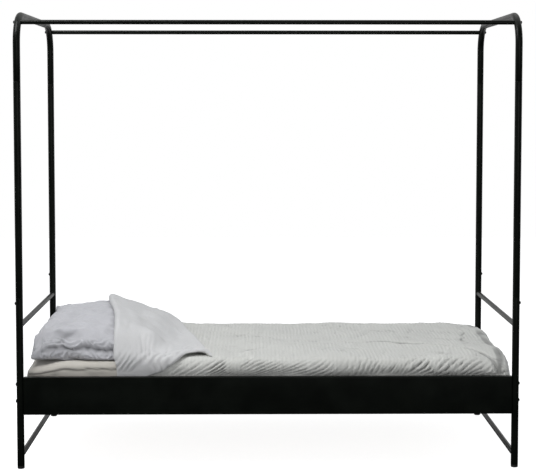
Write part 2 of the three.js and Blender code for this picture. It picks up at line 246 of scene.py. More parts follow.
def cloth(name, colour, thread, output="UV", sheen=0.25, rib=None, painted_fold_shade=None):
    """Cotton in flat cloth coordinates: a plain weave with its threads a given distance apart, slubs, faint
    creasing and, with rib = (pitch, depth), crinkled stripes across the bed, with painted shade in their
    grooves.
    Where its mesh says that it lies in a fold, it has painted shade: its colour is darkened by the given
    factor."""
    m = Material(name, colour, 0.85, Specular_IOR_Level=0.2, Sheen_Weight=sheen, Sheen_Roughness=0.45)
    p = m.coords(output)
    warp = m.bands(p, thread, "X", 0.5, 2, 0.5)
    weft = m.bands(p, thread, "Y", 0.5, 2, 0.5)
    weave = m.math("MAXIMUM", warp, weft)
    slubs = [m.noise(m.coords(output, stretch), 900, 2) for stretch in ((1, 0.05, 1), (0.05, 1, 1))]
    slub = m.math("MAXIMUM", *slubs)
    cloudy = m.noise(p, 6, 3)
    fine = m.noise(p, 55, 4, 0.6)
    base = m.mix(m.ramp(cloudy, 0, 1, 0.3, 0.75), scaled(colour, 1.05), scaled(colour, 0.95))
    shade = m.mix(m.ramp(slub, 0, 1, 0.45, 0.8), base, scaled(colour, 0.94))
    m.rough(m.ramp(slub, 0.78, 0.93, 0.3, 0.8))
    if rib:
        pitch, depth = rib
        wobble = m.bands(p, pitch, "X", 0.8, 2, 3.0)
        crinkle = m.noise(m.coords(output, (1, 0.35, 1)), 1.1 / pitch * 2.4, 3, 0.6)
        m.bump(wobble, depth, 0.9)
        m.bump(crinkle, depth * 0.8, 0.6)
        # painted shade: the colour is darker in the rib's grooves
        shade = m.mix(m.ramp(wobble, 0.0, 0.5, 0.7, 0.05), shade, scaled(colour, 0.9))
    if painted_fold_shade:
        # painted shade: the colour is darkened where the fold attribute says the cloth lies in a fold
        fold = m.node("Attribute", {"attribute_name": "fold"})
        shade = m.mix(m.ramp(fold.outputs["Fac"], 0, 1, 0.1, 1.0), shade, scaled(colour, painted_fold_shade))
    m.colour(shade)
    m.bump(fine, 0.0007, 0.35)
    m.bump(m.math("ADD", weave, slub), 0.00012, 0.6)
    return m.mat


def webbing():
    m = Material("strap_webbing", (0.6, 0.57, 0.5), 0.9, Sheen_Weight=0.2)
    rows = m.bands(m.coords(), 0.0022, "DIAGONAL", 0.3, 1, 1)
    m.colour(m.mix(rows, (0.5, 0.47, 0.41), (0.64, 0.61, 0.54)))
    m.rough(m.ramp(rows, 0.8, 0.95))
    m.bump(rows, 0.0006, 0.8)
    return m.mat


def stage_floor():
    """White to the eye, pale to the light, and dark to reflections in front of the bed."""
    grey = (0.5, 0.5, 0.5)
    m = Material("floor", grey, 0.85, Specular_IOR_Level=0.05, Emission_Color=WHITE, Emission_Strength=0.9)
    p = m.coords()
    m.colour(m.mix(m.noise(p, 1.5, 3), (0.49, 0.49, 0.49), (0.52, 0.52, 0.52)))
    place = m.node("SeparateXYZ", Vector=p)
    mirrored_part = m.node("Emission", Strength=m.ramp(place.outputs["Y"], 0.03, 0.8, 0.3, 2.5))
    lit = m.node("BsdfDiffuse", Color=(*grey, 1))
    m.by_ray(lit, mirrored_part, m.shader, m.tree.nodes["Material Output"])
    return m.mat


# ---------------------------------------------------------------- meshes

def smooth_noise(seed, waves, low, high):
    """A smooth function of two numbers, about -1 to 1, made of waves with wavelengths from low to high."""
    rng = np.random.default_rng(seed)
    length = np.exp(rng.uniform(math.log(low), math.log(high), waves))
    turn, phase = rng.uniform(0, 2 * math.pi, (2, waves))
    weight = length / high
    kx, ky = 2 * math.pi * np.cos(turn) / length, 2 * math.pi * np.sin(turn) / length
    scale = 1.6 / math.sqrt((weight**2).sum())

    def at(x, y):
        x, y = np.asarray(x, float)[..., None], np.asarray(y, float)[..., None]
        return (np.sin(kx * x + ky * y + phase) * weight).sum(-1) * scale

    return at


def make_piece(name, points, faces, materials, uvs=None, face_materials=None, sharp=35):
    """A mesh object from points and faces. uvs holds one pair for each point."""
    mesh = bpy.data.meshes.new(name)
    mesh.from_pydata([tuple(p) for p in np.asarray(points, float)], [], [tuple(map(int, f)) for f in faces])
    for material in materials:
        mesh.materials.append(material)
    if face_materials is not None:
        mesh.polygons.foreach_set("material_index", np.asarray(face_materials, np.int32))
    mesh.polygons.foreach_set("use_smooth", np.ones(len(mesh.polygons), bool))
    if uvs is not None:
        corner = np.zeros(len(mesh.loops), np.int32)
        mesh.loops.foreach_get("vertex_index", corner)
        layer = mesh.uv_layers.new(name="flat")
        layer.data.foreach_set("uv", np.asarray(uvs, np.float32)[corner].ravel())
    mesh.update()
    if sharp:
        mesh.set_sharp_from_angle(angle=math.radians(sharp))
    piece = bpy.data.objects.new(name, mesh)
    scene.collection.objects.link(piece)
    return piece


def grid_faces(rows, columns, close_rows=False, close_columns=False, flip=False, start=0):
    faces = []
    for i in range(rows if close_rows else rows - 1):
        for j in range(columns if close_columns else columns - 1):
            a, b = i * columns, (i + 1) % rows * columns
            k = (j + 1) % columns
            quad = (start + a + j, start + a + k, start + b + k, start + b + j)
            faces.append(quad[::-1] if flip else quad)
    return faces


class Parts:
    """Points and faces of several closed shells that make up one piece."""

    def __init__(self):
        self.points, self.faces = [], []

    def add(self, points, faces):
        start = len(self.points)
        self.points.extend(map(tuple, points))
        self.faces.extend(tuple(i + start for i in f) for f in faces)

    def join(self, rings, closed=False, flip=False):
        """Joins rings of points. Where they aren't closed into a loop, each end gets a flat face."""
        rows, count = len(rings), len(rings[0])
        faces = grid_faces(rows, count, close_rows=closed, close_columns=True, flip=flip)
        if not closed:
            step = -1 if flip else 1
            faces.append(tuple(range(count))[::-step])
            faces.append(tuple(range((rows - 1) * count, rows * count))[::step])
        self.add(np.concatenate(rings), faces)

    def revolve(self, profile, centre, closed=True, segments=48):
        """Turns a profile of (radius, z) round centre. One that isn't closed starts and ends on the axis."""
        body = profile if closed else profile[1:-1]
        rings = [np.column_stack([circle(r, segments), np.full(segments, z)]) + centre for r, z in body]
        self.join(rings, closed)

    def frame_piece(self, name, material, slot, node, sharp=35):
        """Makes the piece of the frame that stands for a CAD node."""
        own(make_piece(name, self.points, self.faces, [material], sharp=sharp), "frame", slot, node)


def own(piece, body, slot, *nodes):
    """Gives a piece its body, in place of the CAD nodes that it stands for. slot is not used."""
    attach(piece, body)
    if nodes:
        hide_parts(*nodes)


def rounded(corners, steps=4):
    """A closed outline through corners (a, b, radius), each rounded off by its own radius."""
    out = []
    plain = [np.array(c[:2], float) for c in corners]
    for i, (*_, r) in enumerate(corners):
        here, before, after = plain[i], plain[i - 1], plain[(i + 1) % len(plain)]
        a, b = before - here, after - here
        a, b = a / np.linalg.norm(a), b / np.linalg.norm(b)
        if r <= 0:
            out.append(here)
            continue
        for t in np.linspace(0, 1, steps + 1):
            out.append(here + a * r * (1 - t) ** 2 + b * r * t**2)
    return np.array(out)


def circle(radius, segments):
    angle = np.linspace(0, 2 * math.pi, segments, endpoint=False)
    return np.stack([radius * np.cos(angle), radius * np.sin(angle)], 1)


# ---------------------------------------------------------------- frame of the bed

POST_R, POST_WALL = 0.015, 0.0015
BEND_R = 0.12  # of the arches' middle line
BAR_R, BAR_BORE = 0.0095, 0.008
CROSSBAR_R, CROSSBAR_BORE, WELD_BEAD = 0.011, 0.0095, 0.0018
SEAM_ROUND = 0.0009  # on the edges of a cut tube


def middle(node):
    low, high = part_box(node)
    return (low + high) / 2


def make_posts(coat, plastic):
    """Lower posts, upper posts with a narrower spigot at each end, and foot caps."""
    for end, _ in ENDS:
        for side, _ in SIDES:
            corner = f"{end}_{side}"
            low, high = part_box(f"lower_post_{corner}")
            centre = np.array([(low.x + high.x) / 2, (low.y + high.y) / 2, 0])
            bore = POST_R - POST_WALL
            outline = [(bore, low.z, 0), (POST_R, low.z, SEAM_ROUND)]
            outline += [(POST_R, high.z, SEAM_ROUND), (bore, high.z, 0)]
            parts = Parts()
            parts.revolve(rounded(outline, 3), centre)
            parts.frame_piece(f"post_lower_{corner}", coat, "frame_coat", f"lower_post_{corner}")

            seam, (low, high) = high.z + GAP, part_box(f"upper_post_{corner}")
            spigot, bore, reach = 0.0132, 0.012, 0.055
            outline = [
                (bore, low.z, 0), (spigot, low.z, 0.001), (spigot, seam, 0), (POST_R, seam, SEAM_ROUND),
                (POST_R, high.z - reach, SEAM_ROUND), (spigot, high.z - reach, 0), (spigot, high.z, 0.001),
                (bore, high.z, 0),
            ]
            parts = Parts()
            parts.revolve(rounded(outline, 3), centre)
            parts.frame_piece(f"post_upper_{corner}", coat, "frame_coat", f"upper_post_{corner}")

            low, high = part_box(f"foot_cap_{corner}")
            lip, skirt, stem = 0.012, POST_R - 0.0002, 0.0132
            outline = [
                (0, 0, 0), (skirt, 0, 0.0035), (skirt, lip, 0.0006), (stem - 0.0004, lip, 0),
                (stem, high.z - 0.002, 0.0005), (stem - 0.001, high.z, 0), (0, high.z, 0),
            ]
            parts = Parts()
            parts.revolve(rounded(outline), centre, closed=False)
            parts.frame_piece(f"foot_{corner}", plastic, "foot_plastic", f"foot_cap_{corner}")


def make_arches(coat):
    """A bent tube over each end. Its path is a list of (y, z, turn), the turn from 0 to half a circle."""
    rim = [(POST_R - SEAM_ROUND, 0.0), (POST_R - 0.3 * SEAM_ROUND, 0.3 * SEAM_ROUND), (POST_R, SEAM_ROUND)]
    for end, _ in ENDS:
        low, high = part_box(f"canopy_arch_{end}")
        x, half, bend_z = (low.x + high.x) / 2, high.y - POST_R, high.z - POST_R - BEND_R
        turns = np.linspace(0, math.pi / 2, 25)
        left = [(-half, low.z, 0.0)]
        left += [(BEND_R * (1 - math.cos(t)) - half, bend_z + BEND_R * math.sin(t), t) for t in turns]
        path = left + [(-y, z, math.pi - t) for y, z, t in left[::-1]]
        last = len(path) - 1
        stations = [(0, *r) for r in rim] + [(i, POST_R, 0) for i in range(1, last)]
        stations += [(last, *r) for r in rim[::-1]]
        stations += [(i, POST_R - POST_WALL, 0) for i in range(last, -1, -1)]
        rings = []
        for i, radius, rise in stations:
            y, z, t = path[i]
            section = circle(radius, 48)
            outward = np.array([0, -math.cos(t), math.sin(t)])
            rings.append(section[:, :1] * [1, 0, 0] + section[:, 1:] * outward + [x, y, z + rise])
        parts = Parts()
        parts.join(rings, closed=True)
        parts.frame_piece(f"arch_{end}", coat, "frame_coat", f"canopy_arch_{end}")


def ring_round(axis, section, along):
    """The points of a section round an axis (0 for X, 1 for Y), each at its own distance along it."""
    ring = np.zeros((len(section), 3))
    ring[:, 1 - axis], ring[:, 2], ring[:, axis] = section[:, 0], section[:, 1], along
    return ring


def coped_bar(axis, centre, radius, bore, reach, bead=0):
    """A tube along axis. reach(a, b) is how far its wall runs from its middle at the offset (a, b), and bead
    is the radius of the weld round each end."""
    segments, waves = 40, 7
    parts = Parts()
    rings = []
    for r, side in ((bore, 1), (bore, -1), (radius, -1), (radius, 1)):
        section = circle(r, segments)
        rings.append(ring_round(axis, section, [side * reach(a, b) for a, b in section]) + centre)
    flip = axis == 1
    parts.join(rings, closed=True, flip=flip)
    if bead:
        section, along = circle(radius + 0.0006, segments), np.eye(3)[axis]
        outward = ring_round(axis, circle(1, segments), 0)
        size = bead * (1 + 0.18 * np.sin(np.arange(segments) * waves * 2 * math.pi / segments))
        for side in (-1, 1):
            path = ring_round(axis, section, [side * (reach(a, b) - 0.0004) for a, b in section]) + centre
            rings = []
            for place, out, bead_r in zip(path, outward, size):
                ring = circle(bead_r, 8)
                rings.append(place + ring[:, :1] * out + ring[:, 1:] * along)
            parts.join(rings, closed=True, flip=not flip)
    return parts


def make_bars(coat):
    low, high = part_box("canopy_arch_foot")
    arch_x = (low.x + high.x) / 2
    bend_y, bend_z = high.y - POST_R - BEND_R, high.z - POST_R - BEND_R
    for side, sign in SIDES:
        centre = np.array(middle(f"canopy_bar_{side}"))

        def to_bend(a, b):
            from_bend = math.hypot(abs(centre[1]) + sign * a - bend_y, centre[2] + b - bend_z) - BEND_R
            return arch_x - math.sqrt((POST_R + GAP) ** 2 - from_bend**2)

        parts = coped_bar(0, centre, BAR_R, BAR_BORE, to_bend)
        parts.frame_piece(f"bar_{side}", coat, "frame_coat", f"canopy_bar_{side}")
    post = middle("lower_post_foot_back")

    def to_post(a, _):
        return post.y - math.sqrt((POST_R + GAP) ** 2 - a * a)

    for end, _ in ENDS:
        for level in ("upper", "lower"):
            node = f"{level}_crossbar_{end}"
            parts = coped_bar(1, np.array(middle(node)), CROSSBAR_R, CROSSBAR_BORE, to_post, WELD_BEAD)
            parts.frame_piece(f"crossbar_{level}_{end}", coat, "frame_coat", node)


def make_rails(coat):
    """Flat box sections with rounded edges and bevelled end plates."""
    edge = 0.0008  # bevel of the end plates
    for side, _ in SIDES:
        low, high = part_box(f"side_rail_{side}")

        def section(inset, radius):
            y0, y1, z0, z1 = low.y + inset, high.y - inset, low.z + inset, high.z - inset
            return rounded([(y0, z0, radius), (y1, z0, radius), (y1, z1, radius), (y0, z1, radius)], 5)

        outer, inset = section(0, 0.0035), section(edge, 0.003)
        stations = [(low.x, inset), (low.x + edge, outer)]
        stations += [(x, outer) for x in np.linspace(low.x + 0.05, high.x - 0.05, 12)]
        stations += [(high.x - edge, outer), (high.x, inset)]
        parts = Parts()
        parts.join([ring_round(0, ring, x) for x, ring in stations])
        parts.frame_piece(f"rail_{side}", coat, "frame_coat", f"side_rail_{side}")


BUTTON_HEAD = ((0.93, 0.0), (1.0, 0.05), (1.0, 0.26), (0.96, 0.42), (0.86, 0.66), (0.72, 0.85), (0.58, 0.95))


def bolt_head(parts, centre, direction, radius, height):
    """A button head with a hexagonal socket, its crown towards direction along X."""
    segments = 36
    angle = np.arange(segments) * 2 * math.pi / segments
    hexagon = 0.43 * radius / np.cos((angle + math.pi / 6) % (math.pi / 3) - math.pi / 6)
    rows = [(np.full(segments, radius * r), height * h) for r, h in BUTTON_HEAD]
    rows += [(hexagon * 1.06, height), (hexagon, 0.96 * height), (hexagon, 0.42 * height)]
    rings = []
    for radii, rise in rows:
        rings.append(ring_round(0, circle(1, segments) * radii[:, None], direction * rise) + centre)
    parts.join(rings, flip=direction < 0)


def make_bolts(black):
    segments = 16
    sizes = {"rail_bolt_lower": (0.004, 0.0035), "rail_bolt_upper": (0.004, 0.0035),
             "post_bolt": (0.003, 0.004), "canopy_bolt": (0.003, 0.004)}
    for end, sign in ENDS:
        for side, _ in SIDES:
            for kind, (shank_r, head_h) in sizes.items():
                node = f"{kind}_{end}_{side}"
                low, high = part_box(node)
                centre = np.array(middle(node))
                tip, inner = (high.x, low.x) if sign > 0 else (low.x, high.x)
                seat = np.array([tip - sign * head_h, centre[1], centre[2]])
                parts = Parts()
                bolt_head(parts, seat, sign, (high.z - low.z) / 2, head_h)
                shank = ((inner, 0.8 * shank_r), (inner + sign * 0.001, shank_r),
                         (seat[0] + sign * 0.0002, shank_r))
                rings = [ring_round(0, circle(r, segments), x) + [0, centre[1], centre[2]] for x, r in shank]
                parts.join(rings, flip=sign < 0)
                parts.frame_piece(f"screw_{kind}_{end}_{side}", black, "bolt_coat", node, sharp=30)


def set_material(node, material):
    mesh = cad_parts[node].data
    mesh.materials.clear()
    mesh.materials.append(material)


def make_base(coat, wood, strap):
    for side, _ in SIDES:
        set_material(f"slat_ledge_{side}", coat)
        set_material(f"slat_strap_{side}", strap)
    for node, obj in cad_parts.items():
        if node.startswith("slat_") and node[5:].isdigit():
            set_material(node, wood)
            bevel = obj.modifiers.new("edges", "BEVEL")
            bevel.width, bevel.segments, bevel.harden_normals = 0.0025, 3, True


# ---------------------------------------------------------------- cloth on a box

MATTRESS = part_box("mattress")[1]  # its highest corner, with its middle over the origin
EDGE_R = 0.028  # of the mattress


def smoothstep(x, start, end):
    t = np.clip((np.asarray(x, float) - start) / (end - start), 0, 1)
    return t * t * (3 - 2 * t)


def bell(x, centre, width):
    return np.exp(-(((np.asarray(x, float) - centre) / width) ** 2))


def blurred(grid, passes):
    """A grid of vectors averaged with its neighbours."""
    for _ in range(passes):
        padded = np.pad(grid, ((1, 1), (1, 1), (0, 0)), "edge")
        grid = (4 * grid + padded[2:, 1:-1] + padded[:-2, 1:-1] + padded[1:-1, 2:] + padded[1:-1, :-2]) / 8
    return grid


def unit(vectors):
    return vectors / np.maximum(np.linalg.norm(vectors, axis=-1), 1e-12)[..., None]


def cavity(height, full=0.0028, passes=50, slack=0.0005):
    """How deep each point of a grid of heights lies in a fold: 0, to 1 for a fold of the full depth."""
    mean = blurred(height[..., None], passes)[..., 0]
    return np.clip((mean - height - slack) / full, 0, 1)


def set_values(piece, name, values):
    """Stores one number for each point of a piece's mesh."""
    layer = piece.data.attributes.new(name, "FLOAT", "POINT")
    layer.data.foreach_set("value", np.asarray(values, np.float32))


def over_edges(u, v, half, radius, top, low=None):
    """Lays flat cloth coordinates on a box of half sizes (a, b) with rolled edges: over the top, down the
    sides and, with low, round the bottom edges and inwards below. Returns points, and how far each is past
    the flat part of the top."""
    core = np.array(half) - radius
    near = np.stack([np.clip(u, -core[0], core[0]), np.clip(v, -core[1], core[1])], -1)
    past = np.stack([u, v], -1) - near
    far = np.abs(past).max(-1)
    turn = np.clip(far / radius, 0, math.pi / 2)
    side = np.maximum(far - radius * math.pi / 2, 0)
    reach, z = radius * np.sin(turn), top - radius * (1 - np.cos(turn))
    if low is None:
        z = z - side
    else:
        straight = top - low - 2 * radius
        z = z - np.minimum(side, straight)
        second = np.clip((side - straight) / radius, 0, math.pi / 2)
        under = np.maximum(side - straight - radius * math.pi / 2, 0)
        reach = reach - radius * (1 - np.cos(second)) - under
        z = z - radius * np.sin(second)
    plan = near + unit(past) * reach[..., None]
    return np.concatenate([plan, z[..., None]], -1), far


def soften_corners(points, half):
    """Lets the top corners of a mattress sag a little."""
    reach, sag, inward = 0.17, 0.027, 0.004
    near = [smoothstep(np.abs(points[..., k]), half[k] - reach, half[k]) for k in (0, 1)]
    share = near[0] * near[1] * smoothstep(points[..., 2], 0.30, MATTRESS.z)
    points[..., 2] -= sag * share
    for k in (0, 1):
        points[..., k] -= inward * np.sign(points[..., k]) * share


def grid_normals(points):
    return unit(np.cross(np.gradient(points, axis=0), np.gradient(points, axis=1)))


def close_sheet(outer, inner):
    """Points and faces of a closed shell between two grids: outer's faces, inner's and the rim's."""
    rows, columns = outer.shape[:2]
    count = rows * columns
    rim = [(0, j) for j in range(columns)] + [(i, columns - 1) for i in range(1, rows)]
    rim += [(rows - 1, j) for j in range(columns - 2, -1, -1)] + [(i, 0) for i in range(rows - 2, 0, -1)]
    rim = [i * columns + j for i, j in rim]
    faces = grid_faces(rows, columns) + grid_faces(rows, columns, flip=True, start=count)
    faces += [(b, a, a + count, b + count) for a, b in zip(rim, rim[1:] + rim[:1])]
    i, j = rows // 2, columns // 2
    facing = np.cross(outer[i, j + 1] - outer[i, j], outer[i + 1, j] - outer[i, j])
    if facing @ (outer[i, j] - inner[i, j]) < 0:
        faces = [f[::-1] for f in faces]
    return np.concatenate([outer.reshape(-1, 3), inner.reshape(-1, 3)]), faces


def cloth_piece(name, outer, inner, u, v, painted_shades, materials):
    """A closed shell of cloth with its flat coordinates and, for each side, how deep it lies in a fold,
    stored for its material to paint as shade. A second material is for the inner side and the rim."""
    points, faces = close_sheet(outer, inner)
    flat = np.stack([u, v], -1).reshape(-1, 2)
    side = np.full(len(faces), len(materials) - 1)
    side[:(outer.shape[0] - 1) * (outer.shape[1] - 1)] = 0
    piece = make_piece(name, points, faces, materials, np.concatenate([flat, flat]), side, sharp=None)
    # painted shade: the fold attribute darkens the cloth's colour where it lies deep in a fold
    set_values(piece, "fold", np.concatenate([s.ravel() for s in painted_shades]))
    return piece


def stepped(*stops):
    """Numbers from the first stop on, with (end, step) pairs after it."""
    out = [stops[0]]
    for end, step in stops[1:]:
        count = max(1, round((end - out[-1]) / step))
        out += list(np.linspace(out[-1], end, count + 1)[1:])
    return np.array(out)


def mirrored(half):
    """Numbers from 0 up, with the same below 0."""
    return np.concatenate([-half[::-1], half[1:]])


# ---------------------------------------------------------------- mattress and fitted sheet

def weld(piece, distance):
    work = bmesh.new()
    work.from_mesh(piece.data)
    bmesh.ops.remove_doubles(work, verts=work.verts, dist=distance)
    bmesh.ops.recalc_face_normals(work, faces=work.faces)
    work.to_mesh(piece.data)
    work.free()


def make_mattress(ticking):
    """The mattress body inside its sheet, tufted, as an upper and a lower half that meet at mid height."""
    low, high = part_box("mattress")
    skin = 0.0052
    a, b, top, base = high.x - skin, high.y - skin, high.z - skin, low.z + skin
    middle_z = (top + base) / 2
    past_edge = 0.06  # in cloth, enough to reach mid height
    u, v = (mirrored(stepped(0, (half - EDGE_R, 0.03), (half + past_edge, 0.006))) for half in (a, b))
    gu, gv = np.meshgrid(u, v, indexing="ij")
    rim = np.maximum(np.abs(gu) / u[-1], np.abs(gv) / v[-1]) > 1 - 1e-9
    tuft = np.abs(np.cos(math.pi * gu / 0.2) * np.cos(math.pi * gv / 0.18)) ** 6
    shell = Parts()
    for sign in (1, -1):
        points, _ = over_edges(gu, gv, (a, b), EDGE_R, top)
        points[..., 2] = np.maximum(points[..., 2], middle_z)
        points[rim, 2] = middle_z
        points[..., 2] -= 0.002 * tuft * (points[..., 2] > top - 1e-6)
        if sign > 0:
            soften_corners(points, (a, b))
        else:
            points[..., 2] = top + base - points[..., 2]
        shell.add(points.reshape(-1, 3), grid_faces(*gu.shape, flip=sign < 0))
    piece = make_piece("mattress_body", shell.points, shell.faces, [ticking], sharp=None)
    weld(piece, 0.0002)
    own(piece, "mattress", "mattress_ticking", "mattress")


def make_fitted_sheet(cotton):
    low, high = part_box("mattress")
    clear, thick = 0.0004, 0.0008
    a, b, top, base = high.x - clear, high.y - clear, high.z, low.z + clear
    under = 0.07  # how far it is tucked under the mattress
    depth = EDGE_R * math.pi + (top - base - 2 * EDGE_R) + under
    past_edge = stepped(0, (0.02, 0.005), (0.062, 0.003), (depth - under, 0.009), (depth, 0.008))
    u, v = (mirrored(np.concatenate([stepped(0, (half - EDGE_R, 0.02))[:-1], half - EDGE_R + past_edge]))
            for half in (a, b))
    gu, gv = np.meshgrid(u, v, indexing="ij")
    points, far = over_edges(gu, gv, (a, b), EDGE_R, top, base)
    soften_corners(points, (a, b))
    normal = grid_normals(points)
    x, y, z = (points[..., k].copy() for k in range(3))
    corner = smoothstep(np.abs(x), a - 0.16, a - 0.02) * smoothstep(np.abs(y), b - 0.16, b - 0.02)
    # it hangs loosely at the sides, has creases that fan out from the corners, and a seam round the top edge
    ripple = smooth_noise(11, 24, 0.03, 0.12)
    side = smoothstep(far, 0.01, 0.05) * smoothstep(depth - under * 0.9 - far, 0, 0.03)
    sag = side * (0.35 + 0.35 * ripple(x + y, z * 1.8))
    fan = np.abs(np.sin(90 * np.arctan2(y / b, x / a) + 3 * ripple(x, z)))
    crease = corner * smoothstep(far, 0.02, 0.06) * (1 - fan) ** 3
    inward = 0.0012 * np.clip(sag, 0, 1) + 0.0016 * crease
    # its corners at the head end stand off the mattress
    loose = smoothstep(-x, a - 0.05, a) * smoothstep(np.abs(y), b - 0.14, b - 0.02)
    points[..., 0] -= 0.014 * loose * smoothstep(far, 0.005, 0.035)
    seam = 0.0022 * bell(far, 0.046 + 0.002 * ripple(points[..., 0], y), 0.0045)
    height = clear - 0.9 * inward - seam
    outer = points + normal * height[..., None]
    # painted shade: darker at the seam groove, in the corner creases, on the loosely hanging sides, and down
    # the sides near each corner
    shade = np.clip(-height / 0.002 + 0.7 * corner * smoothstep(far, 0.01, 0.05), 0, 1)
    piece = cloth_piece("fitted_sheet", outer, outer - normal * thick, gu, gv, (shade, shade), [cotton])
    own(piece, "mattress", "mattress_ticking")


# ---------------------------------------------------------------- pillow

PILLOW_FLAT = (0.60, 0.84)
SEAM_RISE = 0.053  # of the pillow's seam, over the mattress


def inflate(name, points, faces, pressure, frames, **settings):
    """Blows a closed mesh up as cloth, without gravity, and returns its points."""
    piece = make_piece(name, points, faces, [], sharp=None)
    modifier = piece.modifiers.new("cloth", "CLOTH")
    modifier.settings.use_pressure = True
    modifier.settings.uniform_pressure_force = pressure
    modifier.settings.effector_weights.gravity = 0
    for key, value in settings.items():
        setattr(modifier.settings, key, value)
    modifier.point_cache.frame_start, modifier.point_cache.frame_end = 1, frames
    for f in range(1, frames + 1):
        scene.frame_set(f)
    evaluated = piece.evaluated_get(bpy.context.evaluated_depsgraph_get())
    out = np.zeros(len(piece.data.vertices) * 3)
    evaluated.data.vertices.foreach_get("co", out)
    bpy.data.objects.remove(piece, do_unlink=True)
    scene.frame_set(1)
    return out.reshape(-1, 3)


def pillow_shape():
    """The pillow blown up from two flat panels: points, faces, and for each point its place on its panel and
    how far it is from the seam in cloth, negative on the lower panel."""
    nx, ny = 42, 58
    width, length = PILLOW_FLAT
    start = 0.03  # half the height that it is blown up from
    across, along = np.linspace(-width / 2, width / 2, nx), np.linspace(-length / 2, length / 2, ny)
    gx, gy = np.meshgrid(across, along, indexing="ij")
    lens = start * (1 - np.abs(2 * gx / width) ** 3) * (1 - np.abs(2 * gy / length) ** 3)
    wobble = smooth_noise(5, 20, 0.05, 0.3)(gx, gy) * 0.003 * (lens > 0)
    upper = np.stack([gx, gy, lens + wobble], -1).reshape(-1, 3)
    border = np.ones((nx, ny), bool)
    border[1:-1, 1:-1] = False
    free = np.flatnonzero(~border.ravel())
    lower_index = np.arange(nx * ny)
    lower_index[free] = nx * ny + np.arange(len(free))
    faces = grid_faces(nx, ny, flip=True)
    faces += [tuple(lower_index[list(f)][::-1]) for f in faces]
    points = np.concatenate([upper, upper[free] * [1, 1, -1]])
    inset = np.minimum(width / 2 - np.abs(gx), length / 2 - np.abs(gy)).ravel()
    from_seam = np.concatenate([inset, -inset[free]])
    shaped = inflate(
        "pillow_blank", points, faces, 1.6, 20,
        quality=6, mass=0.15, tension_stiffness=40, compression_stiffness=40, shear_stiffness=12,
        bending_stiffness=0.05, air_damping=2.0,
    )
    values = {"flat_x": points[:, 0], "flat_y": points[:, 1], "from_seam": from_seam}
    return subdivided(shaped, faces, values, 2)


def subdivided(points, faces, values, levels):
    """The mesh subdivided, as points, faces and its values at the new points."""
    piece = make_piece("blank", points, faces, [], sharp=None)
    for name, numbers in values.items():
        set_values(piece, name, numbers)
    smooth = piece.modifiers.new("smooth", "SUBSURF")
    smooth.levels = smooth.render_levels = levels
    mesh = piece.evaluated_get(bpy.context.evaluated_depsgraph_get()).data
    out = np.zeros(len(mesh.vertices) * 3)
    mesh.vertices.foreach_get("co", out)
    found = {}
    for name in values:
        found[name] = np.zeros(len(mesh.vertices), np.float32)
        mesh.attributes[name].data.foreach_get("value", found[name])
    polygons = [tuple(p.vertices) for p in mesh.polygons]
    bpy.data.objects.remove(piece, do_unlink=True)
    return out.reshape(-1, 3), polygons, found


def fill_out(along, across, half, share):
    """across, stretched on each side by its own share so that the edges pull in less between the corners."""
    bins = np.linspace(-1, 1, 81) * np.abs(along).max()
    window = 0.012
    out = across.copy()
    for sign in (1, -1):
        reach = np.array([(sign * across[np.abs(along - c) < window]).max() for c in bins])
        side = sign * across > 0
        out[side] *= 1 + share * (half / np.interp(along[side], bins, reach) - 1)
    return out


